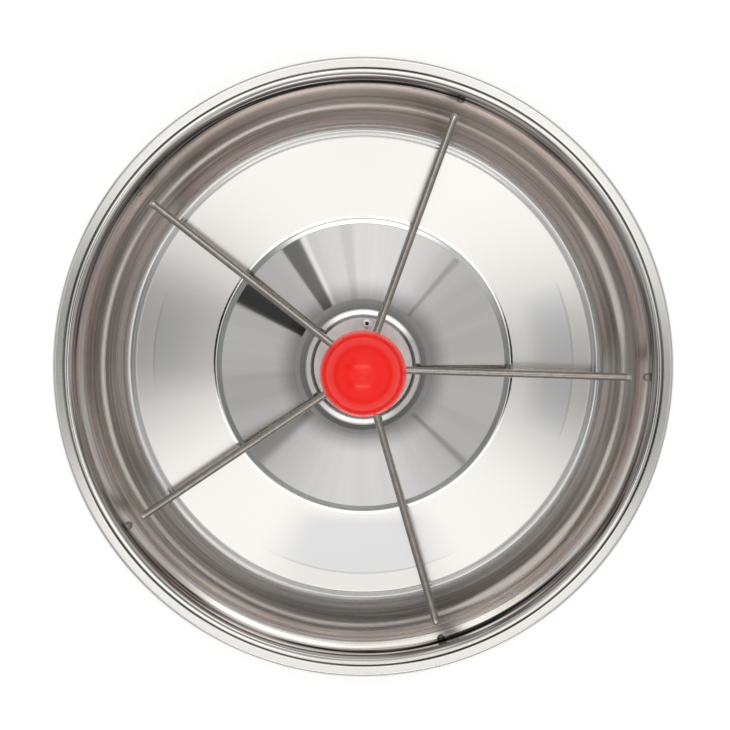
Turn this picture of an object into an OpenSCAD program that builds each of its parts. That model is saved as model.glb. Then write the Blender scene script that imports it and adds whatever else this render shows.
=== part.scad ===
// Round pressed-steel pig feeder with a sprung knob, a five-rod divider and a floor hook.
// Units are millimetres. The origin is the centre of the underside, and +Z is up.

/* [Pan] */
// Diameter over the rim
pan_d = 300; // [294:1:340]
// Height of the rim's bead above the underside
pan_h = 41.5; // [40:0.5:54]
// Thickness of the pressed sheets
sheet_t = 0.8; // [0.6:0.05:0.9]
// How far the wall leans out from the floor to the rim
wall_run = 21.4; // [16:0.1:32]
// Width of the floor that the cone's flange lies on
floor_lap = 8.8; // [5:0.1:14]
// Radius of the corner between floor and wall
wall_foot_r = 1.5; // [1:0.5:10]
// Width of the collar that slopes out from the wall to the bead
collar_w = 1.6; // [1.4:0.1:4]
// Height of the collar
collar_h = 1.1; // [0.8:0.1:2]
// Radius of the bend between wall and collar
collar_r = 0.8; // [0.6:0.1:2]
// Width of the rim outside the bead
rim_w = 6.3; // [5:0.1:8]
// Width of the bead's top
bead_w = 2.8; // [2:0.1:4]
// Radius of the bead's inner edge
crest_r = 5.4; // [2:0.1:7]
// Radius of the bead's outer edge
bead_r = 1; // [0.92:0.02:1.1]
// Height of the bead above the flange
bead_drop = 1.4; // [1.2:0.1:1.8]
// Depth of the lip that hangs from the flange
lip_h = 5.6; // [4.5:0.1:9]
// Radius of the lip's bends
lip_r = 1.8; // [1.2:0.1:2]
// Width of the hem turned in under the lip
hem_w = 3.8; // [3:0.1:4.4]

/* [Cone] */
// Diameter over the flange at the foot of the cone
cone_flange_d = 149.6; // [144:0.2:160]
// Width of the flange at the foot of the cone
cone_flange_w = 1.6; // [1.2:0.1:4]
// Width of the steep skirt between the slope and the flange
skirt_w = 2.6; // [2:0.1:5]
// Height of the skirt
skirt_h = 2.4; // [2:0.1:3]
// Radius of the bend between the slope and the skirt
skirt_r = 1; // [1:0.1:3]
// Height of the ring on top of the cone
cone_h = 22; // [21:0.1:30]
// Width of the ring on top of the cone
ring_w = 3.8; // [2.8:0.1:5]
// How far the neck leans out from the ring to the slope
neck_run = 3.7; // [3:0.1:9]
// How far the neck goes down from the ring to the slope
neck_drop = 2.9; // [2.4:0.1:6]
// Radius of the curve from the neck into the slope
neck_r = 26; // [10:0.5:60]
// Radius of the outer edge of the ring
ring_r = 1.2; // [1:0.1:1.8]
// Diameter of the recess inside the ring
recess_d = 49.2; // [44:0.1:60]
// Depth of the recess
recess_depth = 1.6; // [1.4:0.1:3]

/* [Cap plate and rivets] */
// Thickness of the cap plate
cap_t = 1.2; // [0.8:0.1:1.5]
// Gap between the cap plate and the side of the recess
cap_gap = 0.4; // [0.3:0.1:1]
// Number of rivets
rivet_count = 3; // [3:1:4]
// Distance of the rivets from the edge of the recess
rivet_inset = 3.3; // [3.2:0.1:5]
// Diameter of the rivets' shanks
rivet_d = 3.2; // [2.8:0.1:3.4]
// Diameter of the rivets' heads
rivet_head_d = 5.5; // [5:0.1:5.6]
// Height of the rivets' heads
rivet_head_h = 0.9; // [0.6:0.1:1.2]
// Diameter of the hole left in each rivet
rivet_core_d = 2; // [1.4:0.1:2.2]
// Direction of the first rivet, from +X
rivet_angle = 85; // [0:1:119]

/* [Stem and spring] */
// Diameter of the stem
stem_d = 8; // [7:0.1:9]
// Diameter of the stem's threaded lower end
spigot_d = 6; // [5:0.1:6.5]
// How far the knob can be pressed
press_travel = 6; // [4:0.5:9]
// Diameter of the spring's wire
spring_wire_d = 1.4; // [1.1:0.1:1.6]
// Diameter of the spring at the middle of its wire
spring_mean_d = 16; // [14:0.1:17]
// Number of turns in the spring
spring_turns = 5; // [3.5:0.5:6]
// Thickness of the washer on top of the spring
washer_t = 1.2; // [1:0.1:2]
// Diameter of the washer on top of the spring
washer_d = 19; // [18:0.5:22]
// Diameter of the cross pins through the stem
pin_d = 2.2; // [2:0.1:3]
// Length of the pin that stops the stem
stop_pin_l = 15; // [13:0.5:18]
// Outer diameter of the guide bush
bush_d = 12; // [11:0.1:13]
// Diameter of the guide bush's flange
bush_flange_d = 20; // [18:0.5:24]
// Thickness of the guide bush's flange
bush_flange_t = 1.5; // [1:0.1:2]
// Length of the guide bush below its nut
bush_tail = 0.5; // [0.4:0.1:1.2]
// Width across the flats of the guide bush's nut
bush_nut_w = 17; // [16:0.5:20]
// Height of the guide bush's nut
bush_nut_h = 3.2; // [3:0.1:4.5]

/* [Dividers] */
// Diameter of the divider rods
rod_d = 3.7; // [3:0.1:4]
// Depth of the divider rods' tips below the rim
tip_drop = 9; // [8:0.1:14]
// Direction of the first divider rod, from +X
rod_angle = -2; // [-30:1:30]
// Depth of the rods' sockets in the hub
socket_depth = 4; // [3:0.1:4.4]
// Diameter of the hub that holds the rods
hub_d = 20; // [19:0.5:24]
// Metal left above and below the hub's pin
pin_wall = 0.7; // [0.5:0.1:3]
// Height of the rods' sockets above the hub's underside
socket_h = 4; // [3.4:0.1:4.2]

/* [Knob] */
// Diameter of the ball
ball_d = 40; // [35:1:50]
// Diameter of the flat under the ball
ball_flat_d = 21; // [18:0.5:24]
// Diameter of the threaded insert in the ball
insert_d = 12; // [11:0.5:14]
// Length of the threaded insert
insert_l = 22; // [16:0.5:26]
// Width across the flats of the nut under the ball
ball_nut_w = 13; // [12:0.5:15]
// Height of the nut under the ball
ball_nut_h = 24; // [16:0.5:30]

/* [Hook] */
// Length of the hook's bar
hook_l = 60; // [40:1:80]
// Width of the hook's bar
hook_w = 9; // [8:0.5:10]
// Thickness of the hook's bar
hook_t = 3; // [2.5:0.1:3.5]
// Height of the claw at each end of the bar
claw_h = 2; // [1:0.1:3]
// Height of the bar above the ground
hook_lift = 1.2; // [0.6:0.1:2]
// Outer diameter of the hook's threaded sleeve
sleeve_d = 9; // [8:0.1:10]
// Width across the flats of the nut that locks the hook
hook_nut_w = 10; // [9:0.5:12]
// Height of the nut that locks the hook
hook_nut_h = 3; // [2.4:0.1:3.4]

/* [Clearances] */
// Gap all round a shaft that turns or slides
running_gap = 0.05; // [0.02:0.01:0.1]
// Gap all round a piece that is pressed, screwed, pinned or welded in
seat_gap = 0.02; // [0.01:0.01:0.05]
// Gap between flat faces that meet when the knob moves
stop_gap = 0.2; // [0.1:0.05:0.4]
// Gap left between a divider's tip and the wall with the knob pressed
tip_gap = 0.6; // [0.5:0.1:3]

/* [Hidden] */
rod_count = 5;

// Angle that one flat piece of a rounded corner may turn
arc_step = 9;
round_fn = 96;
sheet_fn = 180;

// Diameters of the pan and the cone, each from the edge beside it
bead_d = pan_d - 2 * rim_w;
wall_top_d = bead_d - 2 * bead_w - 2 * collar_w;
floor_d = wall_top_d - 2 * wall_run;
floor_hole_d = cone_flange_d - 2 * floor_lap;
skirt_d = cone_flange_d - 2 * cone_flange_w;
ring_d = recess_d + 2 * ring_w;
neck_d = ring_d + 2 * neck_run;
rivet_circle_d = recess_d - 2 * rivet_inset;

// Heights of the pieces stacked on the stem, at rest
web_top = cone_h - recess_depth;
web_under = web_top - sheet_t;
cap_top = web_top + cap_t;
bush_top = cap_top + bush_flange_t;
bush_under = web_under - bush_nut_h - bush_tail;
pin_z = bush_under - stop_gap - pin_d / 2;
spring_l = press_travel + (spring_turns + 1) * spring_wire_d + 2 * stop_gap;
spring_top = bush_top + spring_l;
washer_top = spring_top + washer_t;
hub_under = washer_top + running_gap;
socket_z = hub_under + socket_h;
hub_pin_z = socket_z + (rod_d + pin_d) / 2 + pin_wall;
hub_top = hub_pin_z + pin_d / 2 + pin_wall;
ball_under = hub_top + ball_nut_h;
ball_z = ball_under + sqrt(pow(ball_d / 2, 2) - pow(ball_flat_d / 2, 2));
stem_top = ball_under + insert_l - stem_d / 4;
shoulder_z = pin_z - pin_d;
hook_nut_top = shoulder_z - stop_gap;
sleeve_top = hook_nut_top - hook_nut_h;
bar_top = hook_lift + hook_t;
spigot_end = hook_lift + stop_gap * 3;

// Radii that several pieces share
bore_r = stem_d / 2 + running_gap;
stem_seat_r = stem_d / 2 + seat_gap;
bush_seat_r = bush_d / 2 + seat_gap;
spring_r = spring_mean_d / 2;
flange_z = pan_h - bead_drop;
crease_r = bead_d / 2 + bead_drop / 2;

// Slope of the wall, and the place of a divider rod's round tip beside it
wall_rise = pan_h - collar_h - sheet_t;
rod_tip_h = pan_h - tip_drop;
wall_lean = atan(wall_run / wall_rise);
tip_off = rod_d / 2 + tip_gap + press_travel * sin(wall_lean);
tip_r = floor_d / 2 + (rod_tip_h - sheet_t) * tan(wall_lean) - tip_off / cos(wall_lean);
rod_slope = atan((socket_z - rod_tip_h) / tip_r);
rod_l = norm([tip_r, socket_z - rod_tip_h]);
rod_start = (hub_d / 2 - socket_depth) / cos(rod_slope);

// Direction of the cross pins, square to the line half way between two rods
pin_angle = rod_angle + 90 + 180 / rod_count;

// Upper face of the pan from the hole in its floor to the hem: radius, height, corner radius
pan_corners = [
  [floor_hole_d / 2, sheet_t, 0],
  [floor_d / 2, sheet_t, wall_foot_r],
  [wall_top_d / 2, pan_h - collar_h, collar_r],
  [bead_d / 2 - bead_w, pan_h, crest_r],
  [bead_d / 2, pan_h, bead_r],
  [crease_r, flange_z, bead_drop / 3],
  [pan_d / 2, flange_z, lip_r],
  [pan_d / 2, flange_z - lip_h, lip_r],
  [pan_d / 2 - hem_w, flange_z - lip_h, 0]
];

// Upper face of the cone from the bush's hole to the edge of its flange
cone_corners = [
  [bush_seat_r, web_top, 0],
  [recess_d / 2, web_top, sheet_t],
  [recess_d / 2 + sheet_t * 0.75, cone_h, sheet_t * 1.1],
  [ring_d / 2, cone_h, ring_r],
  [neck_d / 2, cone_h - neck_drop, neck_r],
  [skirt_d / 2 - skirt_w, 2 * sheet_t + skirt_h, skirt_r],
  [skirt_d / 2, 2 * sheet_t, 2 * sheet_t],
  [cone_flange_d / 2, 2 * sheet_t, 0]
];

// Plane vectors
function unit(v) = v / norm(v);
function right(v) = [v[1], -v[0]];
function flat(p) = [p[0], p[1]];

// Length of a path that corner i's rounding takes up on each side of it
function corner_run(corners, i) =
  i == 0 || i == len(corners) - 1 ? 0 :
  let (a = flat(corners[i - 1]), b = flat(corners[i]), c = flat(corners[i + 1]))
  corners[i][2] * tan(acos(unit(b - a) * unit(c - b)) / 2);

// Share of its radius that corner i keeps, so that its rounding ends before the next one starts
function corner_share(corners, i, j) =
  j < 0 || j == len(corners) ? 1 :
  let (taken = corner_run(corners, i) + corner_run(corners, j),
       room = norm(flat(corners[i]) - flat(corners[j])))
  taken < room * 0.98 ? 1 : room * 0.98 / taken;
function fitted(corners) = [for (i = [0:len(corners) - 1])
  [corners[i][0], corners[i][1], corners[i][2] *
    min(corner_share(corners, i, i - 1), corner_share(corners, i, i + 1))]];

// Corner b of a path a, b, c, moved t to the right of the path
function moved_corner(a, b, c, t) =
  let (m = right(unit(b - a)), n = right(unit(c - b)))
  b + t * (m + n) / (1 + m * n);

// Points of a rounded corner b of the path a, b, c
function corner_arc(a, b, c, r) =
  let (u = unit(a - b), v = unit(c - b),
       half = acos(u * v) / 2,
       middle = b + unit(u + v) * r / sin(half),
       first = b + u * r / tan(half) - middle,
       start = atan2(first[1], first[0]),
       sweep = (180 - 2 * half) * sign(cross(b - a, c - b)),
       steps = max(2, ceil(abs(sweep) / arc_step)))
  r < 0.01 ? [b] : [for (i = [0:steps])
    middle + r * [cos(start + sweep * i / steps), sin(start + sweep * i / steps)]];

// One face of a bent sheet, t to the right of the path through the corners
function sheet_face(corners, t) =
  let (n = len(corners) - 1, p = [for (k = corners) flat(k)],
       q = [for (i = [0:n])
         i == 0 ? p[0] + t * right(unit(p[1] - p[0])) :
         i == n ? p[n] + t * right(unit(p[n] - p[n - 1])) :
         moved_corner(p[i - 1], p[i], p[i + 1], t)])
  [for (i = [0:n], point =
    i == 0 || i == n ? [q[i]] :
    corner_arc(q[i - 1], q[i], q[i + 1],
      corners[i][2] + t * sign(cross(p[i] - p[i - 1], p[i + 1] - p[i]))))
    point];

function reversed(list) = [for (i = [len(list) - 1:-1:0]) list[i]];

// Outline of a bent sheet of thickness t under the path through the corners
function sheet_outline(corners, t) =
  let (c = fitted(corners)) concat(sheet_face(c, 0), reversed(sheet_face(c, t)));

// Middle of the spring's wire, u of the way up
spring_low = bush_top + spring_wire_d / 2 + stop_gap / 2;
spring_high = spring_top - spring_wire_d / 2 - stop_gap / 2;
function spring_point(u) = [
  spring_r * cos(360 * spring_turns * u),
  spring_r * sin(360 * spring_turns * u),
  spring_low + (spring_high - spring_low) * u];

// Rings of a tube of wire_d through the points, each square to its stretch, then its faces
wire_sides = 6;
rings_per_turn = 12;
function wire_ring(before, at, after, wire_d) =
  let (along = unit(after - before), out = unit([at[0], at[1], 0]),
       side = unit(out - along * (along * out)), up = cross(along, side))
  [for (k = [0:wire_sides - 1])
    at + wire_d / 2 * (side * cos(360 * k / wire_sides) + up * sin(360 * k / wire_sides))];
function wire_face(i, k) = i * wire_sides + k % wire_sides;

// Copies at the places of the rivets
module at_rivets() {
  for (i = [0:rivet_count - 1])
    rotate(rivet_angle + 360 * i / rivet_count) children();
}

// Holes for the rivets through what lies between two heights
module rivet_holes(low, high) {
  at_rivets()
    translate([rivet_circle_d / 2, 0, 2 * low - high])
      cylinder(d = rivet_d + 2 * seat_gap, h = 3 * (high - low), $fn = round_fn);
}

// A plain ring or tube
module tube(outer_d, inner_r, low, high) {
  translate([0, 0, low])
    difference() {
      cylinder(d = outer_d, h = high - low, $fn = round_fn);
      translate([0, 0, low - high]) cylinder(r = inner_r, h = 3 * (high - low), $fn = round_fn);
    }
}

// A hexagon nut with both rims of its flats turned off
module hex_nut(width, height, inner_r, low) {
  corner_d = width / cos(30);
  bevel = (corner_d - width) / 2;
  translate([0, 0, low])
    difference() {
      intersection() {
        cylinder(d = corner_d, h = height, $fn = 6);
        rotate_extrude($fn = round_fn)
          polygon([[0, 0], [width / 2, 0], [corner_d / 2, bevel * 0.6],
                   [corner_d / 2, height - bevel * 0.6], [width / 2, height], [0, height]]);
      }
      translate([0, 0, -height]) cylinder(r = inner_r, h = 3 * height, $fn = round_fn);
    }
}

// A round bar across the stem
module cross_bar(d, l, z, angle) {
  translate([0, 0, z])
    rotate([90, 0, angle])
      cylinder(d = d, h = l, center = true, $fn = round_fn);
}

// Copies that point along each divider rod, with the rod's line on +Z from the stem's axis
module along_rod(i) {
  translate([0, 0, socket_z])
    rotate([0, 90 + rod_slope, rod_angle + 360 * (i - 1) / rod_count])
      children();
}

module pan() {
  color("silver")
    rotate_extrude($fn = sheet_fn) polygon(sheet_outline(pan_corners, sheet_t));
}

module centre_cone() {
  color("gainsboro")
    difference() {
      rotate_extrude($fn = sheet_fn) polygon(sheet_outline(cone_corners, sheet_t));
      rivet_holes(web_under, web_top);
    }
}

module cap_plate() {
  color("darkgray")
    difference() {
      tube(recess_d - 2 * cap_gap, bush_seat_r, web_top, cap_top);
      rivet_holes(web_top, cap_top);
    }
}

// A hollow blind rivet: domed head, shank, and the bulge set on the far side
module blind_rivet() {
  core_r = rivet_core_d / 2;
  head_r = rivet_head_d / 2;
  bulge_r = rivet_d * 0.72;
  bulge_h = rivet_d * 0.7;
  dome = [for (a = [0:15:90])
    [core_r + (head_r - core_r) * cos(a), cap_top + rivet_head_h * sin(a)]];
  bulge = [for (a = [0:15:180])
    [rivet_d / 2 + (bulge_r - rivet_d / 2) * sin(a), web_under - bulge_h * (1 - a / 180)]];
  rotate_extrude($fn = round_fn)
    polygon(concat([[core_r, web_under - bulge_h]], bulge, [[rivet_d / 2, cap_top]], dome));
}

module cap_rivets() {
  color("gainsboro")
    at_rivets() translate([rivet_circle_d / 2, 0, 0]) blind_rivet();
}

// Flanged guide that clamps the cap plate to the cone, with the spring on its flange
module guide_bush() {
  color("ivory")
    difference() {
      union() {
        translate([0, 0, bush_under])
          cylinder(d = bush_d, h = cap_top - bush_under, $fn = round_fn);
        translate([0, 0, cap_top]) cylinder(d = bush_flange_d, h = bush_flange_t, $fn = round_fn);
      }
      translate([0, 0, bush_under - bush_nut_h])
        cylinder(r = bore_r, h = bush_top, $fn = round_fn);
    }
}

module bush_nut() {
  color("silver") hex_nut(bush_nut_w, bush_nut_h, bush_seat_r, web_under - bush_nut_h);
}

// Round stem with a thinner threaded lower end
module stem() {
  bevel = spigot_d / 12;
  color("silver")
    difference() {
      rotate_extrude($fn = round_fn)
        polygon([[0, spigot_end], [spigot_d / 2 - bevel, spigot_end],
                 [spigot_d / 2, spigot_end + bevel], [spigot_d / 2, shoulder_z],
                 [stem_d / 2, shoulder_z], [stem_d / 2, stem_top - bevel],
                 [stem_d / 2 - bevel, stem_top], [0, stem_top]]);
      cross_bar(pin_d + 2 * seat_gap, 2 * stem_d, pin_z, pin_angle);
      cross_bar(pin_d + 2 * seat_gap, 2 * stem_d, hub_pin_z, pin_angle);
    }
}

module stop_pin() {
  color("dimgray") cross_bar(pin_d, stop_pin_l, pin_z, pin_angle);
}

module spring_washer() {
  color("silver") tube(washer_d, bore_r, spring_top, washer_top);
}

// Open compression spring as one tube
module spring() {
  rings = ceil(spring_turns * rings_per_turn);
  step = 1 / rings;
  centres = [for (i = [0:rings]) spring_point(i * step)];
  points = [for (i = [0:rings], p = wire_ring(
    spring_point(i * step - step), centres[i], spring_point(i * step + step), spring_wire_d)) p];
  sides = [for (i = [0:rings - 1], k = [0:wire_sides - 1], face = [
    [wire_face(i, k), wire_face(i, k + 1), wire_face(i + 1, k + 1)],
    [wire_face(i, k), wire_face(i + 1, k + 1), wire_face(i + 1, k)]]) face];
  caps = [for (k = [1:wire_sides - 2], face = [
    [wire_face(0, 0), wire_face(0, k + 1), wire_face(0, k)],
    [wire_face(rings, 0), wire_face(rings, k), wire_face(rings, k + 1)]]) face];
  turn_gap = min([for (i = [0:rings - rings_per_turn])
    norm(centres[i + rings_per_turn] - centres[i])]) - spring_wire_d;
  echo(str("Least gap between the spring's turns: ", turn_gap, " mm"));
  color("lightsteelblue") polyhedron(points, concat(sides, caps));
}

// Turned hub with a socket for each rod and a cross hole for its pin
module divider_hub() {
  bevel = hub_d / 20;
  color("silver")
    difference() {
      rotate_extrude($fn = round_fn)
        polygon([[stem_seat_r, hub_under], [hub_d / 2 - bevel, hub_under],
                 [hub_d / 2, hub_under + bevel], [hub_d / 2, hub_top - bevel],
                 [hub_d / 2 - bevel, hub_top], [stem_seat_r, hub_top]]);
      for (i = [1:rod_count])
        along_rod(i)
          translate([0, 0, rod_start - seat_gap])
            cylinder(d = rod_d + 2 * seat_gap, h = hub_d, $fn = round_fn);
      cross_bar(pin_d + 2 * seat_gap, 2 * hub_d, hub_pin_z, pin_angle);
    }
}

module hub_pin() {
  color("dimgray") cross_bar(pin_d, hub_d, hub_pin_z, pin_angle);
}

// Straight rod from its socket to a round tip beside the wall
module divider_rod(i) {
  color("lightgray")
    along_rod(i) {
      translate([0, 0, rod_start]) cylinder(d = rod_d, h = rod_l - rod_start, $fn = round_fn);
      translate([0, 0, rod_l]) sphere(d = rod_d, $fn = round_fn);
    }
}

module ball_nut() {
  color("silver") hex_nut(ball_nut_w, ball_nut_h, stem_seat_r, hub_top);
}

module ball_insert() {
  color("goldenrod") tube(insert_d, stem_seat_r, ball_under, ball_under + insert_l);
}

module ball_knob() {
  color("red")
    difference() {
      translate([0, 0, ball_z]) sphere(d = ball_d, $fn = round_fn);
      translate([0, 0, ball_under - ball_d]) cylinder(d = ball_d, h = ball_d, $fn = round_fn);
      translate([0, 0, ball_under - insert_l])
        cylinder(d = insert_d + 2 * seat_gap, h = 2 * insert_l + seat_gap, $fn = round_fn);
    }
}

module hook_nut() {
  color("silver") hex_nut(hook_nut_w, hook_nut_h, spigot_d / 2 + running_gap, sleeve_top);
}

module hook_sleeve() {
  color("silver") tube(sleeve_d, spigot_d / 2 + running_gap, bar_top, sleeve_top);
}

// Flat bar with round ends and a claw turned up at each end
module hook_bar() {
  reach = (hook_l - hook_w) / 2;
  claw_l = hook_w / 3;
  color("silver")
    translate([0, 0, hook_lift])
      difference() {
        union() {
          translate([-reach, -hook_w / 2, 0]) cube([2 * reach, hook_w, hook_t]);
          for (side = [-1, 1])
            translate([side * reach, 0, 0]) {
              cylinder(d = hook_w, h = hook_t, $fn = round_fn);
              intersection() {
                cylinder(d = hook_w, h = hook_t + claw_h, $fn = round_fn);
                translate([side * hook_w / 2 - claw_l, -hook_w / 2, 0])
                  cube([2 * claw_l, hook_w, hook_t + claw_h]);
              }
            }
        }
        translate([0, 0, -hook_t])
          cylinder(r = spigot_d / 2 + running_gap, h = 3 * hook_t, $fn = round_fn);
      }
}

pan();
centre_cone();
cap_plate();
cap_rivets();
guide_bush();
bush_nut();
stem();
stop_pin();
spring();
spring_washer();
divider_hub();
hub_pin();
divider_rod(1);  // divider_rod_1
divider_rod(2);  // divider_rod_2
divider_rod(3);  // divider_rod_3
divider_rod(4);  // divider_rod_4
divider_rod(5);  // divider_rod_5
ball_nut();
ball_insert();
ball_knob();
hook_nut();
hook_sleeve();
hook_bar();
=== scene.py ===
import math

import bmesh
import bpy
from mathutils import Matrix, Vector


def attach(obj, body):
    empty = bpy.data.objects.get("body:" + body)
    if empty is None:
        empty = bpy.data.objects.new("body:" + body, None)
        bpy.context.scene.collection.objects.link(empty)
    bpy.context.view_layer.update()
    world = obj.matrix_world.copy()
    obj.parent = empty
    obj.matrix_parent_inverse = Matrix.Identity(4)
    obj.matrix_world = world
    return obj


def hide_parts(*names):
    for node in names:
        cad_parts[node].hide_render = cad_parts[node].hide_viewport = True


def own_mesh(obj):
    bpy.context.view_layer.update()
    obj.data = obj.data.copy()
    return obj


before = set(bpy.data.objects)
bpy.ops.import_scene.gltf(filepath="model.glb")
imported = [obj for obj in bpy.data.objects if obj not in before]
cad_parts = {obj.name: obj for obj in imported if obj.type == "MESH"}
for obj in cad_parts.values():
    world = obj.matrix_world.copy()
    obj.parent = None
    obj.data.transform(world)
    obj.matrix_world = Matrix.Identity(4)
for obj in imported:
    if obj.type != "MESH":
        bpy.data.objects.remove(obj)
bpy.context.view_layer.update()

MM = 0.001

# Sizes in millimetres, as in the CAD source

SHEET = 0.8
FIT = 0.02
SLIDE = 0.05

PAN_R = 150.0
PAN_H = 41.5
FLOOR_R = 117.9
FLOOR_HOLE_R = 66.0
WALL_TOP_R = 139.3
WALL_TOP_Z = PAN_H - 1.1
WALL_LEAN = math.atan((WALL_TOP_R - FLOOR_R) / (WALL_TOP_Z - SHEET))
BEAD_IN_R = 140.9
BEAD_OUT_R = 143.7
FLANGE_IN_R = 144.4
FLANGE_Z = 40.1
LIP_H = 5.6
HEM_W = 3.8

CONE_H = 22.0
CONE_R = 74.8
CREST_W = 0.6
CREST_R = 28.4
NECK_R = 32.1
NECK_DROP = 2.9
NECK_BEND = 26.0
SKIRT_W = 4.2
SKIRT_H = 2.4
FOOT_W = 1.6
WEB_TOP = 20.4
WEB_UNDER = 19.6
RECESS_R = 24.6
CAP_TOP = 21.6
CAP_GAP = 0.4

RIVET_COUNT = 3
RIVET_CIRCLE_R = 21.3
RIVET_ANGLE = 85.0
RIVET_R = 1.6
RIVET_BORE_R = 1.0
RIVET_HEAD_R = 2.75

BUSH_R = 6.0
BUSH_FLANGE_R = 10.0
BUSH_TOP = 23.1
BUSH_UNDER = 15.9
BUSH_MIDDLE = 19.5
SPRING_TOP = 37.9
SPRING_R = 8.0
SPRING_TURNS = 5
WIRE_D = 1.4
WASHER_R = 9.5
WASHER_TOP = 39.1
PRESS_TRAVEL = 6.0

STEM_R = 4.0
SPIGOT_R = 3.0
SHOULDER_Z = 12.4
SPIGOT_END = 1.8
SPIGOT_CHAMFER_R = 0.4
SPIGOT_CHAMFER_H = 0.5
THREAD_DEPTH = 0.5
THREAD_PITCH = 1.0

HUB_UNDER = 39.15
HUB_TOP = 48.6
HUB_R = 10.0
HUB_MIDDLE = 44.0
SOCKET_Z = 43.15
ROD_R = 1.85
ROD_START = 6.05
ROD_TIP_Z = 32.5
ROD_ANGLE = -2.0
ROD_COUNT = 5
TIP_GAP = 0.6
TIP_OFF = ROD_R + TIP_GAP + PRESS_TRAVEL * math.sin(WALL_LEAN)
ROD_END_R = FLOOR_R + (ROD_TIP_Z - SHEET) * math.tan(WALL_LEAN) - TIP_OFF / math.cos(WALL_LEAN)
WELD_R = 0.75
WELD_OUT = 0.55
WELD_SUNK = 0.05

BALL_R = 20.0
BALL_FLAT_R = 10.5
INSERT_R = 6.0
INSERT_L = 22.0
BALL_NUT_H = 24.0
BALL_UNDER = HUB_TOP + BALL_NUT_H
BALL_Z = BALL_UNDER + math.sqrt(BALL_R**2 - BALL_FLAT_R**2)
STEM_TOP = BALL_UNDER + INSERT_L - STEM_R / 2

SLEEVE_TOP = 9.2
SLEEVE_R = 4.5
BAR_TOP = 4.2


# Profiles: lists of plane points (radius, height) in millimetres


def rounded(corners, step=5.0):
    """Path through corners (radius, height, corner radius), with each corner turned in small steps."""
    path = []
    for i, (x, z, r) in enumerate(corners):
        b = Vector((x, z))
        if i in (0, len(corners) - 1) or r < 0.005:
            path.append(b)
            continue
        a, c = Vector(corners[i - 1][:2]), Vector(corners[i + 1][:2])
        u, v = (a - b).normalized(), (c - b).normalized()
        half = math.acos(max(-1.0, min(1.0, u.dot(v)))) / 2
        middle = b + (u + v).normalized() * r / math.sin(half)
        first = b + u * r / math.tan(half) - middle
        start = math.atan2(first.y, first.x)
        way = 1 if (b - a).cross(c - b) > 0 else -1
        sweep = (math.pi - 2 * half) * way
        parts = max(3, round(abs(math.degrees(sweep)) / step))
        angles = [start + sweep * k / parts for k in range(parts + 1)]
        path += [middle + r * Vector((math.cos(angle), math.sin(angle))) for angle in angles]
    return held(path)


def held(path, room=0.2):
    """The path with a point close to each end of its long stretches, which keeps them flat when shaded."""
    full = [path[0]]
    for a, b in zip(path, path[1:]):
        if (b - a).length > 8 * room:
            full += [a + (b - a).normalized() * room, b - (b - a).normalized() * room]
        full.append(b)
    return full


def sheet_outline(corners, t):
    """Closed outline of a bent sheet of thickness t below the path through the corners."""
    flat = [Vector(c[:2]) for c in corners]

    def right(v):
        return Vector((v.y, -v.x)).normalized()

    moved = []
    for i, (p, c) in enumerate(zip(flat, corners)):
        if i == 0:
            q, r = p + t * right(flat[1] - p), 0
        elif i == len(flat) - 1:
            q, r = p + t * right(p - flat[i - 1]), 0
        else:
            m, n = right(p - flat[i - 1]), right(flat[i + 1] - p)
            q = p + t * (m + n) / (1 + m.dot(n))
            way = 1 if (p - flat[i - 1]).cross(flat[i + 1] - p) > 0 else -1
            r = max(0.0, c[2] + t * way)
        moved.append((q.x, q.y, r))
    return rounded(corners) + rounded(moved)[::-1]


def turned(inner, outer, low, high, bevel):
    """Closed outline of a turned ring with its four edges rounded."""
    seam = (inner, (low + high) / 2, 0)
    corners = [(inner, low, bevel), (outer, low, bevel), (outer, high, bevel), (inner, high, bevel)]
    return rounded([seam, *corners, seam], 22.0)[:-1]


# Pieces

SHARP_ANGLE = 32


def piece(name, bm, material, body, nodes=()):
    """Makes the shape a piece of the scene, in place of the nodes, that rides on the body."""
    bmesh.ops.recalc_face_normals(bm, faces=bm.faces)
    mesh = bpy.data.meshes.new(name)
    bm.to_mesh(mesh)
    bm.free()
    obj = bpy.data.objects.new(name, mesh)
    bpy.context.scene.collection.objects.link(obj)
    mesh.materials.append(material)
    for face in mesh.polygons:
        face.use_smooth = True
    mesh.set_sharp_from_angle(angle=math.radians(SHARP_ANGLE))
    if nodes:
        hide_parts(*nodes)
    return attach(obj, body)


def spun(bm, outline, steps, closed=True, matrix=None):
    """Adds the outline to bm, turned right round the Z axis, then moved by the matrix."""
    verts = [bm.verts.new((p[0] * MM, 0, p[1] * MM)) for p in outline]
    pairs = list(zip(verts, verts[1:])) + ([(verts[-1], verts[0])] if closed else [])
    edges = [bm.edges.new(pair) for pair in pairs]
    before = {v for v in bm.verts if v not in verts}
    bmesh.ops.spin(
        bm, geom=verts + edges, cent=(0, 0, 0), axis=(0, 0, 1), dvec=(0, 0, 0),
        angle=2 * math.pi, steps=steps, use_merge=True, use_duplicate=False,
    )
    made = [v for v in bm.verts if v not in before]
    bmesh.ops.remove_doubles(bm, verts=made, dist=1e-7)
    if matrix is not None:
        bmesh.ops.transform(bm, matrix=matrix, verts=[v for v in bm.verts if v not in before])
    return bm


def spun_piece(name, outline, steps, material, body, nodes=(), closed=True):
    return piece(name, spun(bmesh.new(), outline, steps, closed), material, body, nodes)


# Shader maths


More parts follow.
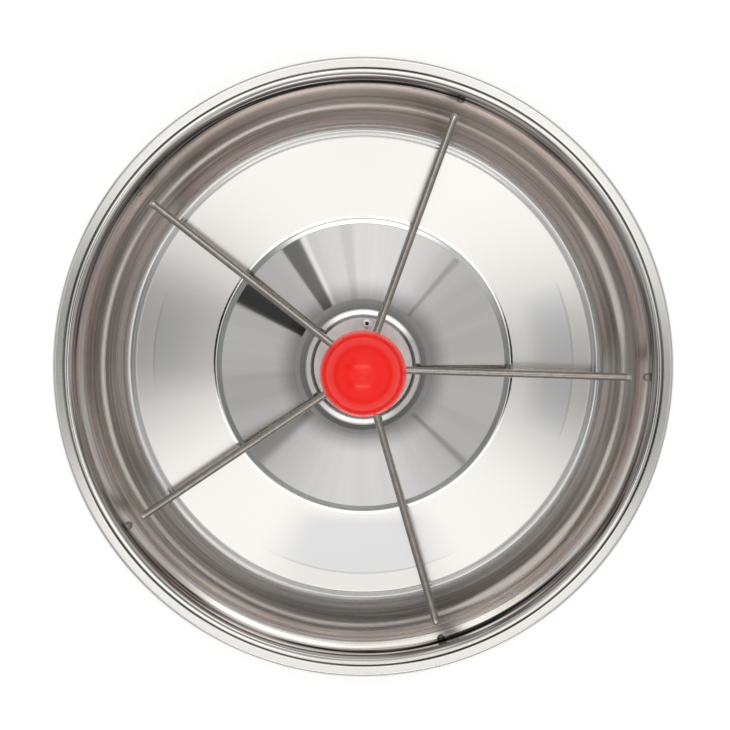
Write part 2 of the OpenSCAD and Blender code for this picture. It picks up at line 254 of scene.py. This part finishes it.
class Wire:
    """A shader socket that takes part in sums."""

    def __init__(self, tree, socket):
        self.tree, self.socket = tree, socket

    def make(self, kind, settings, sockets):
        """First output of a new node with these settings and inputs."""
        node = self.tree.nodes.new(kind)
        for key, value in settings.items():
            setattr(node, key, value)
        for key, value in sockets.items():
            self.feed(node.inputs[key], value)
        return Wire(self.tree, node.outputs[0])

    def feed(self, target, value):
        if isinstance(value, Wire):
            self.tree.links.new(value.socket, target)
        else:
            target.default_value = value

    def maths(self, operation, *values):
        return self.make("ShaderNodeMath", {"operation": operation}, dict(enumerate((self, *values))))

    def flipped(self, operation, other):
        return self.make("ShaderNodeMath", {"operation": operation}, {0: other, 1: self})

    def __add__(self, other):
        return self.maths("ADD", other)

    def __radd__(self, other):
        return self.flipped("ADD", other)

    def __sub__(self, other):
        return self.maths("SUBTRACT", other)

    def __rsub__(self, other):
        return self.flipped("SUBTRACT", other)

    def __mul__(self, other):
        return self.maths("MULTIPLY", other)

    def __rmul__(self, other):
        return self.flipped("MULTIPLY", other)

    def __truediv__(self, other):
        return self.maths("DIVIDE", other)

    def step(self, low, high, start=0.0, end=1.0):
        """Smooth step from start to end while this goes from low to high."""
        return self.make(
            "ShaderNodeMapRange", {"interpolation_type": "SMOOTHSTEP"},
            {"Value": self, "From Min": low, "From Max": high, "To Min": start, "To Max": end},
        )

    def bell(self, middle, width):
        """One at the middle, falling softly to nothing at a width away."""
        return (self - middle).maths("ABSOLUTE").step(0.0, width, 1.0, 0.0)

    def away(self, middle):
        """Degrees between this direction and the middle one, the short way round."""
        return ((self + (540.0 - middle)).maths("MODULO", 360.0) - 180.0).maths("ABSOLUTE")

    def sector(self, middle, half, soft):
        """One within half of the middle direction, falling to nothing over the soft degrees beyond."""
        return self.away(middle).step(half, half + soft, 1.0, 0.0)

    def sectors(self, rows):
        """Sum of sectors, each given as middle, half, soft and strength."""
        total = 0.0
        for middle, half, soft, strength in rows:
            total = total + self.sector(middle, half, soft) * strength
        return total

    def axes(self):
        node = self.tree.nodes.new("ShaderNodeSeparateXYZ")
        self.feed(node.inputs[0], self)
        return [Wire(self.tree, out) for out in node.outputs]

    def vector(self, y, z):
        return self.make("ShaderNodeCombineXYZ", {}, {"X": self, "Y": y, "Z": z})

    def noise(self, scale=1.0, detail=2.0, rough=0.5):
        """Noise about 0.5 at this vector."""
        sockets = {"Vector": self, "Scale": scale, "Detail": detail, "Roughness": rough}
        return self.make("ShaderNodeTexNoise", {"noise_dimensions": "3D"}, sockets)

    def mixed(self, a, b):
        """Colour a where this is 0 and b where it is 1."""
        node = self.tree.nodes.new("ShaderNodeMix")
        node.data_type = "RGBA"
        self.feed(node.inputs[0], self)
        self.feed(node.inputs[6], a)
        self.feed(node.inputs[7], b)
        return Wire(self.tree, node.outputs[2])


class Finish:
    """A material with its principled shader and the point that is shaded, in millimetres."""

    def __init__(self, name, metallic, specular=0.5):
        self.material = bpy.data.materials.new(name)
        self.material.use_nodes = True
        self.tree = self.material.node_tree
        self.shader = self.tree.nodes["Principled BSDF"]
        self.shader.inputs["Metallic"].default_value = metallic
        self.shader.inputs["Specular IOR Level"].default_value = specular
        coords = self.tree.nodes.new("ShaderNodeTexCoord")
        self.place = Wire(self.tree, coords.outputs["Object"])
        x, y, z = self.place.axes()
        self.x, self.y, self.z = x * (1 / MM), y * (1 / MM), z * (1 / MM)
        self.radius = (self.x * self.x + self.y * self.y).maths("SQRT")
        self.angle = self.y.maths("ARCTAN2", self.x)
        self.turn = self.angle * (180 / math.pi)

    def ring(self, across, along):
        """Noise vector with marks round the axis: `across` per millimetre of radius, `along` per radian."""
        return (self.radius * across).vector(
            self.angle.maths("COSINE") * along, self.angle.maths("SINE") * along)

    def rays(self, across, along):
        """Noise vector with marks out from the axis: `across` per radian, `along` per millimetre of radius."""
        return (self.radius * along).vector(
            self.angle.maths("COSINE") * across, self.angle.maths("SINE") * across)

    def bump(self, height, depth):
        """Normal of a surface raised by the height, with a depth in millimetres."""
        sockets = {"Strength": 1.0, "Distance": depth * MM, "Height": height}
        return self.place.make("ShaderNodeBump", {}, sockets)

    def put(self, colour, rough, height, depth, shader=None):
        """Sets colour, roughness and bump, on the first shader unless another one is given."""
        inputs = (shader or self.shader).inputs
        self.place.feed(inputs["Base Color"], colour)
        self.place.feed(inputs["Roughness"], rough)
        self.place.feed(inputs["Normal"], self.bump(height, depth))
        return self.material

    def mix(self, other, share):
        """The first shader where the share is 0, and the other where it is 1."""
        first, second = Wire(self.tree, self.shader.outputs[0]), Wire(self.tree, other.outputs[0])
        both = self.place.make("ShaderNodeMixShader", {}, {0: share, 1: first, 2: second})
        self.place.feed(self.tree.nodes["Material Output"].inputs["Surface"], both)
        return self.material


def grey(value, warm=0.0):
    return (value * (1 + warm), value, value * (1 - warm), 1.0)


BLACK = grey(0.0)

# Finishes: heights and radii in millimetres, directions and widths in degrees, tones as shares of the
# steel's full colour

# Painted reflection bands in the wall's tone by height: from, to, change
WALL_REFLECTION_BANDS = [(6.0, 10.0, -0.25), (13.0, 20.0, 0.15), (22.0, 28.0, -0.20), (39.0, 40.5, 0.20)]
WALL_OUTSIDE = 0.72
WALL_FOOT_TINT = (0.93, 1.0, 0.97, 1)
WALL_TINT = (0.98, 0.945, 0.89, 1)
# Sides of the wall where the painted reflection bands differ: direction, half width, soft edge, and strength in
# a list
FAR_SIDE = (90.0, 35.0, 30.0)
NEAR_SIDE = (270.0, 28.0, 32.0)
FLANKS = [(0.0, 25.0, 30.0, 1.0), (180.0, 25.0, 30.0, 1.0)]
# A matte line half way up the wall, lighter as a painted reflection, and where it is brighter and wider
LINE_Z, LINE_W, LINE_LEAST = 19.2, 2.6, 0.50
LINE_LIT = [
    (20.0, 8.0, 12.0, 0.5), (110.0, 16.0, 22.0, 0.5), (180.0, 20.0, 20.0, 0.35), (318.0, 20.0, 14.0, 0.5),
]
LINE_WIDE = [(20.0, 6.0, 14.0, 2.0), (310.0, 6.0, 14.0, 2.0)]
# Floor: painted reflections as soft shapes, their outer edge and dimmer sides; painted shade in the crease
# round it
FLOOR_TONE = 0.77
NEAR_SHAPE = (269.0, 14.0, 17.0)
SIDE_SHAPES = [(173.0, 4.0, 13.0, 0.8), (11.0, 6.0, 9.0, 1.0), (349.0, 4.0, 8.0, 1.0)]
LEFT_DIM, RIGHT_DIM = (170.0, 8.0, 16.0), (2.0, 10.0, 14.0)
SHAPE_EDGE_R, CREASE_R = 104.7, 114.3
FLOOR_TINT = (1.0, 0.972, 0.935, 1)
SHAPE_TINT = (0.975, 0.98, 0.975, 1)
RIM_FROM, RIM_FULL = 144.8, 145.4
# The painted highlight on the rods' tips, by radius
TIP_FROM, TIP_FULL = 127.0, 129.5


def painted_wall_tone(f, inside):
    """Painted reflections and shade in the polished wall's tone, by height and direction. The outside is even.
    """
    z, turn, radius = f.z, f.turn, f.radius
    near = turn.sector(*NEAR_SIDE)
    high = z - turn.sectors(FLANKS) * 2.0 + near * 0.8
    shade = 1.0
    # Painted reflection bands by height
    for low, top, change in WALL_REFLECTION_BANDS:
        shade = shade + z.step(low, top) * change
    # Painted reflections, lighter or darker on some sides of the wall
    shade = shade + turn.sector(*FAR_SIDE) * z.step(24.0, 28.0) * z.step(36.5, 33.5) * 0.24
    shade = shade - near * z.bell(33.0, 5.0) * 0.20
    shade = shade + high.bell(32.0, 4.6) * 0.22 - high.step(34.6, 37.6) * 0.62
    # Painted shade in the fillet at the wall's foot and in the crease by the bead, a painted highlight on the
    # bead's crest
    shade = shade - radius.bell(117.3, 0.8) * 0.6
    shade = shade + radius.step(141.6, 142.7) * 0.48 - radius.bell(144.2, 1.05) * 0.70
    return WALL_OUTSIDE + (shade - WALL_OUTSIDE) * inside


def floor_tone(f, fine, crease, near, shapes, sheen):
    """Tone of the floor and of the rim's flat, with painted reflections and painted shade."""
    turn, radius = f.turn, f.radius
    off_rim = radius.step(140.0, 130.0)
    # Painted shade in the crease round the floor and in its corner by the wall
    tone = FLOOR_TONE + (fine - 0.5) * 0.03 - crease * 0.36 - radius.step(140.0, 145.0) * 0.06
    tone = tone - radius.step(114.6, 115.4) * off_rim * 0.30
    # Painted reflections: the soft shapes, their edge and the dimmer sides
    tone = tone - sheen * 0.06 - radius.bell(SHAPE_EDGE_R, 0.8) * (near + shapes) * 0.14
    tone = tone - near * radius.step(72.0, 82.0) * off_rim * 0.09
    dim = turn.sector(*LEFT_DIM) * 0.12 + turn.sector(*RIGHT_DIM) * radius.step(78.0, 92.0) * 0.09
    return tone - dim * off_rim


def pan_finish():
    """Polished on the wall, brushed round the axis on floor and rim; their tone has painted reflections and
    shade.
    """
    f = Finish("pan_sheet_steel", 1.0)
    z, turn, radius = f.z, f.turn, f.radius
    fine = f.ring(2.2, 0.9).noise(1.0, 3.0, 0.6)
    drawn = f.ring(0.9, 1.2).noise(1.0, 3.0, 0.6)

    in_wall = (radius - z * math.tan(WALL_LEAN)).step(FLOOR_R + 0.2, FLOOR_R - 0.1)
    inside = in_wall.maths("MAXIMUM", z.step(38.8, 39.3))
    wave = f.ring(0.0, 2.0).noise(1.0, 2.0) * 1.6 - 0.8
    # Painted reflection: a lighter line, less metallic and rougher, brighter in some directions
    line = (z + wave).bell(LINE_Z, LINE_W + turn.sectors(LINE_WIDE))
    line = line * (LINE_LEAST + turn.sectors(LINE_LIT)) * inside
    marks = (drawn.step(0.40, 0.60) * 0.30 - 0.15) * (0.35 + inside * 0.65)
    # The wall's painted reflections and shade, the painted line, and random marks
    shade = painted_wall_tone(f, inside) + line * 0.3 + marks + (fine - 0.5) * 0.25
    tint = z.step(4.0, 16.0).maths("MAXIMUM", 1.0 - inside).mixed(WALL_FOOT_TINT, WALL_TINT)
    bends = z.step(4.5, 2.5) + z.bell(38.0, 1.4) * 0.8
    f.put(shade.mixed(BLACK, tint), 0.07 + drawn * 0.05 + line * 0.30 + bends * 0.20, fine * 0.002, 1.0)
    f.place.feed(f.shader.inputs["Metallic"], 1.0 - line * 0.85)

    brushed = f.tree.nodes.new("ShaderNodeBsdfPrincipled")
    brushed.inputs["Metallic"].default_value = 1.0
    brushed.inputs["Anisotropic"].default_value = 0.60
    brushed.inputs["Anisotropic Rotation"].default_value = 0.25
    # Masks of the painted shade in the crease and of the painted reflections on the floor
    crease = radius.bell(CREASE_R, 1.2)
    near, shapes = turn.sector(*NEAR_SHAPE), turn.sectors(SIDE_SHAPES)
    sheen = near * f.y.step(-73.0, -80.0) + shapes * radius.step(80.0, 98.0)
    sheen = sheen * radius.step(SHAPE_EDGE_R + 0.5, SHAPE_EDGE_R - 0.3)
    tone = floor_tone(f, fine, crease, near, shapes, sheen)
    # The painted reflections are a little cooler in tint
    sheen_tint = sheen.mixed(FLOOR_TINT, SHAPE_TINT)
    f.put(tone.mixed(BLACK, sheen_tint), 0.15 + fine * 0.02, crease * 0.2, 1.0, brushed)
    return f.mix(brushed, radius.step(FLOOR_R - 1.0, FLOOR_R - 1.8) + radius.step(RIM_FROM, RIM_FULL))


def cone_finish():
    """Polished sheet, marks out from the axis; painted shade and reflections darken neck, crest's sides and
    skirt.
    """
    f = Finish("cone_sheet_steel", 1.0)
    turn, radius = f.turn, f.radius
    streaks = f.rays(30.0, 0.01).noise(1.0, 3.0, 0.6)
    broad = f.rays(6.0, 0.005).noise(1.0, 2.0)
    # Painted shade at the neck; painted reflections on the crest's sides, away from two brighter directions,
    # and on the skirt
    neck = radius.step(28.2, 33.0, 0.60, 0.58) * radius.step(27.5, 28.1) * radius.step(30.5, 45.0, 1.0, 0.0)
    bright = turn.sectors([(82.0, 30.0, 25.0, 1.0), (262.0, 12.0, 40.0, 0.8)])
    crest = radius.step(27.5, 28.1, 1.0, 0.0) * (1.0 - bright) * 0.6
    skirt = radius.step(70.2, 70.8) * radius.step(73.4, 73.0)
    skirt = skirt * (0.62 - turn.sector(75.0, 35.0, 30.0) * 0.42)
    shade = 0.80 + (broad - 0.5) * 0.12 + (streaks - 0.5) * 0.06
    colour = (shade * (1.0 - neck - crest - skirt)).mixed(BLACK, (1.0, 0.985, 0.965, 1))
    f.place.feed(f.shader.inputs["Metallic"], radius.step(25.4, 26.2, 0.4, 1.0))
    return f.put(colour, 0.045 + streaks * 0.03, streaks * 0.003, 1.0)


def plate_finish():
    f = Finish("cap_plate_steel", 1.0)
    grain = f.place.noise(900.0, 3.0, 0.6)
    marks = f.place.noise(120.0, 2.0)
    colour = marks.step(0.35, 0.65).mixed(grey(0.60, 0.02), grey(0.68, 0.015))
    return f.put(colour, 0.42 + grain * 0.12, grain, 0.02)


def rod_finish():
    """Drawn steel, with a painted highlight on the domed tips."""
    f = Finish("rod_drawn_steel", 1.0)
    marks = f.place.noise(260.0, 3.0, 0.6)
    colour = marks.step(0.3, 0.7).mixed(grey(0.28, 0.11), grey(0.345, 0.09))
    # Painted highlight: the tips a little brighter
    colour = f.radius.step(TIP_FROM, TIP_FULL).mixed(colour, grey(0.50, 0.07))
    return f.put(colour, 0.10 + marks * 0.08, marks, 0.006)


def turned_finish(name, dark, light, rough):
    """Metal turned about the Z axis, with fine marks round it."""
    f = Finish(name, 1.0)
    marks = (f.z * 5.0).vector(f.radius * 5.0, f.angle * 0.4).noise(1.0, 3.0, 0.6)
    colour = marks.step(0.3, 0.7).mixed(dark, light)
    return f.put(colour, rough + marks * 0.12, marks, 0.015)


def plain_metal(name, dark, light, rough, scale):
    f = Finish(name, 1.0)
    marks = f.place.noise(scale, 3.0, 0.6)
    return f.put(marks.step(0.3, 0.7).mixed(dark, light), rough + marks * 0.14, marks, 0.01)


def ball_finish():
    """Moulded red plastic, with a slight glow that keeps its sides red."""
    f = Finish("ball_red_plastic", 0.0, 0.38)
    cloud = f.place.noise(40.0, 2.0)
    peel = f.place.noise(700.0, 2.0)
    colour = cloud.step(0.3, 0.7).mixed((0.96, 0.012, 0.007, 1), (0.98, 0.015, 0.009, 1))
    f.shader.inputs["Emission Color"].default_value = (1.0, 0.012, 0.006, 1)
    f.shader.inputs["Emission Strength"].default_value = 0.16
    return f.put(colour, 0.15 + cloud * 0.05, peel, 0.008)


def nylon_finish():
    f = Finish("bush_nylon", 0.0, 0.4)
    cloud = f.place.noise(150.0, 3.0)
    colour = cloud.step(0.3, 0.7).mixed((0.62, 0.59, 0.52, 1), (0.70, 0.67, 0.60, 1))
    return f.put(colour, 0.45 + cloud * 0.1, cloud, 0.02)


PAN = pan_finish()
CONE = cone_finish()
PLATE = plate_finish()
ROD = rod_finish()
BALL = ball_finish()
NYLON = nylon_finish()
STEM = turned_finish("stem_turned_steel", grey(0.50, 0.015), grey(0.62, 0.01), 0.22)
HUB = turned_finish("hub_turned_steel", grey(0.46, 0.02), grey(0.58, 0.015), 0.26)
BRASS = turned_finish("insert_brass", (0.62, 0.42, 0.16, 1), (0.74, 0.52, 0.22, 1), 0.25)
NUT = plain_metal("nut_plated_steel", grey(0.52, 0.01), grey(0.64, 0.01), 0.24, 300.0)
PIN = plain_metal("pin_steel", grey(0.24, 0.01), grey(0.32, 0.01), 0.30, 400.0)
SPRING = plain_metal("spring_wire_steel", grey(0.44, 0.01), grey(0.58, 0.005), 0.20, 500.0)
RIVET = plain_metal("rivet_aluminium", grey(0.74, 0.005), grey(0.84, 0.005), 0.26, 500.0)
MANDREL = plain_metal("rivet_mandrel_steel", grey(0.05, 0.02), grey(0.10, 0.02), 0.5, 800.0)
HOOK = plain_metal("hook_plated_steel", grey(0.48, 0.02), grey(0.60, 0.02), 0.30, 220.0)


# Pan and cone sheets

pan_corners = [
    (FLOOR_HOLE_R, SHEET, 0),
    (FLOOR_R, SHEET, 1.5),
    (WALL_TOP_R, WALL_TOP_Z, 0.8),
    (BEAD_IN_R, PAN_H, 5.4),
    (BEAD_OUT_R, PAN_H, 1.0),
    (FLANGE_IN_R, FLANGE_Z, 1.4 / 3),
    (PAN_R, FLANGE_Z, 1.8),
    (PAN_R, FLANGE_Z - LIP_H, 1.8),
    (PAN_R - HEM_W, FLANGE_Z - LIP_H, 0),
]
spun_piece("pan_sheet", sheet_outline(pan_corners, SHEET), 288, PAN, "pan", ["pan"])

cone_corners = [
    (BUSH_R + FIT, WEB_TOP, 0),
    (RECESS_R, WEB_TOP, 0.8),
    (RECESS_R + CREST_W, CONE_H, 0.88),
    (CREST_R, CONE_H, 1.2),
    (NECK_R, CONE_H - NECK_DROP, NECK_BEND),
    (CONE_R - SKIRT_W, 2 * SHEET + SKIRT_H, 1.0),
    (CONE_R - FOOT_W, 2 * SHEET, 1.6),
    (CONE_R, 2 * SHEET, 0),
]
spun_piece("cone_sheet", sheet_outline(cone_corners, SHEET), 288, CONE, "pan", ["centre_cone"])

# Cap plate and its rivets

cap_plate = turned(BUSH_R + FIT, RECESS_R - CAP_GAP, WEB_TOP, CAP_TOP, 0.25)
spun_piece("cap_plate_disc", cap_plate, 128, PLATE, "pan", ["cap_plate"])

rivet_head = rounded([
    (RIVET_BORE_R, WEB_UNDER - 2.2, 0), (RIVET_BORE_R, CAP_TOP + 0.9, 0.12), (1.75, CAP_TOP + 0.85, 0.5),
    (RIVET_HEAD_R, CAP_TOP + 0.35, 0.25), (RIVET_HEAD_R, CAP_TOP, 0.1), (RIVET_R, CAP_TOP, 0),
], 12.0)
rivet_shank = [(RIVET_R, WEB_UNDER), (2.2, WEB_UNDER - 0.6), (2.3, WEB_UNDER - 1.3), (1.9, WEB_UNDER - 2.1)]
mandrel = [(0.0, CAP_TOP + 0.15), (0.85, CAP_TOP + 0.1), (RIVET_BORE_R, CAP_TOP - 0.2),
           (RIVET_BORE_R, WEB_UNDER - 2.4), (0.0, WEB_UNDER - 2.6)]
rivets = bmesh.new()
mandrels = bmesh.new()
for k in range(RIVET_COUNT):
    to_rivet = (Matrix.Rotation(math.radians(RIVET_ANGLE + 360 / RIVET_COUNT * k), 4, "Z")
                @ Matrix.Translation((RIVET_CIRCLE_R * MM, 0, 0)))
    spun(rivets, rivet_head + [Vector(p) for p in rivet_shank], 40, True, to_rivet)
    spun(mandrels, [Vector(p) for p in mandrel], 24, False, to_rivet)
piece("rivet_bodies", rivets, RIVET, "pan", ["cap_rivets"])
piece("rivet_mandrels", mandrels, MANDREL, "pan")

# Guide bush, spring and washer

bush_bore = STEM_R + SLIDE
bush_seam = (bush_bore, BUSH_MIDDLE, 0)
bush = rounded([
    bush_seam, (bush_bore, BUSH_UNDER, 0.3), (BUSH_R, BUSH_UNDER, 0.4), (BUSH_R, CAP_TOP, 0.0),
    (BUSH_FLANGE_R, CAP_TOP, 0.2), (BUSH_FLANGE_R, BUSH_TOP, 0.5), (bush_bore, BUSH_TOP, 0.4), bush_seam,
], 15.0)[:-1]
spun_piece("guide_bush_body", bush, 96, NYLON, "pan", ["guide_bush"])


def spring_piece():
    """Round wire wound about the stem, on its own mesh; pressing the knob squeezes it, which is not modelled
    here.
    """
    bm = bmesh.new()
    rings, sides = 40 * SPRING_TURNS, 12
    low, high = BUSH_TOP + WIRE_D / 2 + SLIDE, SPRING_TOP - WIRE_D / 2 - SLIDE
    rise = (high - low) / (2 * math.pi * SPRING_TURNS * SPRING_R)
    bmesh.ops.create_grid(bm, x_segments=rings, y_segments=sides, size=0.5)
    for v in bm.verts:
        u, w = v.co.x + 0.5, v.co.y + 0.5
        a = 2 * math.pi * SPRING_TURNS * u
        ring = Vector((SPRING_R * math.cos(a), SPRING_R * math.sin(a), low + (high - low) * u))
        out = Vector((math.cos(a), math.sin(a), 0))
        up = Vector((-math.sin(a), math.cos(a), rise)).normalized().cross(out)
        b = -2 * math.pi * w
        v.co = (ring + WIRE_D / 2 * (out * math.cos(b) + up * math.sin(b))) * MM
    bmesh.ops.remove_doubles(bm, verts=bm.verts, dist=1e-6)
    bmesh.ops.holes_fill(bm, edges=[e for e in bm.edges if e.is_boundary], sides=sides)
    obj = piece("spring_coil", bm, SPRING, "pan", ["spring"])
    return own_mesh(obj)


spring_piece()
washer = turned(STEM_R + SLIDE, WASHER_R, SPRING_TOP, WASHER_TOP, 0.25)
spun_piece("spring_washer_ring", washer, 96, STEM, "press_slide", ["spring_washer"])

# Stem with its threaded lower end


def thread(bm, radius, depth, pitch, low, high, sides=48):
    """Adds a cylinder with a thread cut into it, open at both ends."""
    rows = int((high - low) / pitch * 8)
    made = bmesh.ops.create_grid(bm, x_segments=sides, y_segments=rows, size=0.5)["verts"]
    for v in made:
        a, z = 2 * math.pi * (v.co.x + 0.5), low + (high - low) * (v.co.y + 0.5)
        wave = abs(((z / pitch - a / (2 * math.pi)) % 1.0) * 2 - 1)
        cut = depth * min(1.0, max(0.0, 1.3 * wave - 0.15)) * min(1.0, (z - low) / pitch, (high - z) / pitch)
        r = radius - cut - SPIGOT_CHAMFER_R * (1 - min(1.0, (z - low) / SPIGOT_CHAMFER_H))
        v.co = Vector((r * math.cos(a), r * math.sin(a), z)) * MM
    bmesh.ops.remove_doubles(bm, verts=made, dist=1e-6)


stem = bmesh.new()
thread(stem, SPIGOT_R, THREAD_DEPTH, THREAD_PITCH, SPIGOT_END, SHOULDER_Z)
spun(stem, rounded([(0.0, SPIGOT_END, 0), (SPIGOT_R - SPIGOT_CHAMFER_R, SPIGOT_END, 0)], 10.0), 48, False)
upper_stem = rounded([(SPIGOT_R, SHOULDER_Z, 0), (STEM_R, SHOULDER_Z, 0.3), (STEM_R, STEM_TOP, 0.5),
                      (0.0, STEM_TOP, 0)], 15.0)
spun(stem, upper_stem, 48, False)
piece("stem_bar", stem, STEM, "stem", ["stem"])

# Hub, rods and the beads of weld that hold them

hub_bore = STEM_R + FIT
hub_seam = (hub_bore, HUB_MIDDLE, 0)
hub = rounded([hub_seam, (hub_bore, HUB_UNDER, 0.3), (HUB_R, HUB_UNDER, 0.9), (HUB_R, HUB_TOP, 0.9),
               (hub_bore, HUB_TOP, 0.3), hub_seam], 12.0)[:-1]
spun_piece("divider_hub_body", hub, 96, HUB, "stem", ["divider_hub"])

slope = math.atan2(SOCKET_Z - ROD_TIP_Z, ROD_END_R)
rod_l = math.hypot(ROD_END_R, SOCKET_Z - ROD_TIP_Z)
rod_tip = [Vector((ROD_R * math.cos(a), rod_l + ROD_R * math.sin(a)))
           for a in [i * math.pi / 16 for i in range(9)]]
rod_side = [Vector((ROD_R, ROD_START + (rod_l - ROD_START) * i / 24)) for i in range(24)]
rod = [Vector((0.0, ROD_START)), *rod_side, *rod_tip]
bead = [Vector((ROD_R + WELD_OUT + WELD_R * math.cos(a), HUB_R - WELD_SUNK + WELD_R * math.sin(a)))
        for a in [i * math.pi / 8 for i in range(16)]]
welds = bmesh.new()
for k in range(ROD_COUNT):
    along = (Matrix.Translation((0, 0, SOCKET_Z * MM))
             @ Matrix.Rotation(math.radians(ROD_ANGLE + 360 / ROD_COUNT * k), 4, "Z")
             @ Matrix.Rotation(math.pi / 2 + slope, 4, "Y"))
    bar = spun(bmesh.new(), rod, 40, False, along)
    piece(f"divider_rod_bar_{k + 1}", bar, ROD, "stem", [f"divider_rod_{k + 1}"])
    spun(welds, bead, 40, True, along)
piece("rod_weld_beads", welds, HUB, "stem")

# Knob


def on_ball(degrees):
    a = math.radians(degrees)
    return Vector((BALL_R * math.cos(a), BALL_Z + BALL_R * math.sin(a)))


ball_bore = INSERT_R + FIT
flat_edge = rounded([(ball_bore, BALL_UNDER, 0), (BALL_FLAT_R, BALL_UNDER, 0.5), (*on_ball(-50), 0)], 12.0)[:-1]
ball = [Vector((ball_bore, BALL_UNDER + INSERT_L + FIT)), *flat_edge]
ball += [on_ball(a) for a in range(-52, 90, 2)] + [Vector((0.0, BALL_Z + BALL_R))]
spun_piece("ball_knob_body", ball, 128, BALL, "stem", ["ball_knob"], False)
insert = turned(STEM_R + FIT, INSERT_R, BALL_UNDER, BALL_UNDER + INSERT_L, 0.3)
spun_piece("ball_insert_tube", insert, 64, BRASS, "stem", ["ball_insert"])

# Hook

sleeve = turned(SPIGOT_R + SLIDE, SLEEVE_R, BAR_TOP, SLEEVE_TOP, 0.3)
spun_piece("hook_sleeve_tube", sleeve, 64, HOOK, "hook", ["hook_sleeve"])

# Finishes for the pieces that stay as the CAD made them

for name, material in [
    ("bush_nut", NUT), ("ball_nut", NUT), ("hook_nut", NUT),
    ("stop_pin", PIN), ("hub_pin", PIN), ("hook_bar", HOOK),
]:
    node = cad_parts[name]
    node.data.materials.clear()
    node.data.materials.append(material)


# Studio: a white floor that keeps the shadow, under a sky that is bright above and greyer to the sides

FLOOR_HALF = 4.0
FLOOR_DROP = 0.6
FLOOR_GLOW = 0.5

# Tones of the sky, from its top down to the horizon
SKY_TOP, SKY_UPPER, SKY_BELT, SKY_SIDE, SKY_LOW, SKY_HORIZON = 1.42, 0.80, 0.53, 0.62, 0.30, 1.0
SKY_STRIPS = 2.7
# Brighter parts and dark bars of the belt, and dark panels at the top: direction, half, soft, strength
BELT_GLOW = [(86.0, 7.0, 50.0, 0.37), (268.0, 6.0, 48.0, 0.29), (116.8, 0.7, 1.0, 0.30)]
BELT_BARS = [
    (123.0, 3.8, 1.2, 0.72), (152.0, 4.2, 2.0, 0.92), (220.0, 4.0, 5.0, 0.50), (313.5, 0.7, 1.4, 0.38),
    (97.5, 1.5, 2.5, 0.16), (46.0, 0.8, 1.2, 0.34), (195.0, 5.0, 6.0, 0.12),
]
TOP_PANELS = [(194.0, 17.0, 9.0, 1.0), (335.0, 13.0, 9.0, 1.0)]


def floor_finish():
    """Pale floor that camera, metal and glass see as white, apart from the shadow on it."""
    material = bpy.data.materials.new("studio_floor")
    material.use_nodes = True
    tree = material.node_tree
    shader = tree.nodes["Principled BSDF"]
    shader.inputs["Base Color"].default_value = grey(0.8)
    shader.inputs["Roughness"].default_value = 0.9
    path = tree.nodes.new("ShaderNodeLightPath")
    seen = Wire(tree, path.outputs["Is Camera Ray"])
    for kind in ("Is Glossy Ray", "Is Transmission Ray"):
        seen = seen.maths("MAXIMUM", Wire(tree, path.outputs[kind]))
    white = seen.make("ShaderNodeEmission", {}, {"Color": grey(1.0), "Strength": seen * FLOOR_GLOW})
    both = seen.make("ShaderNodeAddShader", {}, {0: Wire(tree, shader.outputs[0]), 1: white})
    both.feed(tree.nodes["Material Output"].inputs["Surface"], both)
    return material


def studio_floor():
    bm = bmesh.new()
    bmesh.ops.create_grid(bm, x_segments=1, y_segments=1, size=FLOOR_HALF)
    bmesh.ops.translate(bm, verts=bm.verts, vec=(0, 0, -FLOOR_DROP * MM))
    mesh = bpy.data.meshes.new("studio_floor")
    bm.to_mesh(mesh)
    bm.free()
    mesh.materials.append(floor_finish())
    floor = bpy.data.objects.new("studio_floor", mesh)
    bpy.context.scene.collection.objects.link(floor)


def studio_sky():
    """Light by degrees off the zenith and by direction, with two strips that show in the ball."""
    world = bpy.data.worlds.new("studio_light")
    bpy.context.scene.world = world
    world.use_nodes = True
    sky = world.node_tree
    way = Wire(sky, sky.nodes.new("ShaderNodeTexCoord").outputs["Generated"])
    dx, dy, dz = way.axes()
    off = dz.maths("ARCCOSINE") * (180 / math.pi)
    turn = dy.maths("ARCTAN2", dx) * (180 / math.pi)
    across, along = dx / dz, dy / dz

    panels = turn.sectors(TOP_PANELS) * off.step(0.5, 3.0) * off.step(8.0, 13.0, 1.0, 0.5)
    ends = turn.sector(90.0, 0.0, 50.0) * off.step(0.5, 3.0) * 0.20
    ends = ends + turn.sector(270.0, 0.0, 50.0) * off.step(3.0, 8.0) * 0.12
    top = SKY_TOP * (1.0 - panels) * (1.0 - ends)
    belt = (SKY_BELT + turn.sectors(BELT_GLOW)) * (1.0 - turn.sectors(BELT_BARS))
    strips = (along.bell(0.40, 0.13) + along.bell(-0.60, 0.14)) * dz.step(0.3, 0.5)
    strips = strips * across.maths("ABSOLUTE").step(0.25, 0.45, 1.0, 0.0)

    upper = off.step(32.0, 38.0, off.step(11.0, 17.0, top, SKY_UPPER), belt)
    light = off.step(49.0, 58.0, upper, SKY_SIDE) - off.step(67.0, 76.0) * SKY_LOW + strips * SKY_STRIPS
    light = off.step(83.0, 89.0, light, SKY_HORIZON)
    way.feed(sky.nodes["Background"].inputs["Color"], light.vector(light, light))
    sky.nodes["Background"].inputs["Strength"].default_value = 1.0


studio_floor()
studio_sky()

# Camera above the pan, a little towards +Y, at the photograph's angle: place in millimetres, tilt in degrees

EYE_X, EYE_Y, EYE_Z = 0.9, 50.0, 1100.8
EYE_TILT = -2.605

camera = bpy.data.cameras.new("camera")
camera.sensor_width = 36.0
camera.lens = 108.62
eye = bpy.data.objects.new("camera", camera)
bpy.context.scene.collection.objects.link(eye)
eye.location = (EYE_X * MM, EYE_Y * MM, EYE_Z * MM)
eye.rotation_euler = (math.radians(EYE_TILT), 0, 0)
bpy.context.scene.camera = eye
bpy.context.scene.view_settings.view_transform = "Standard"
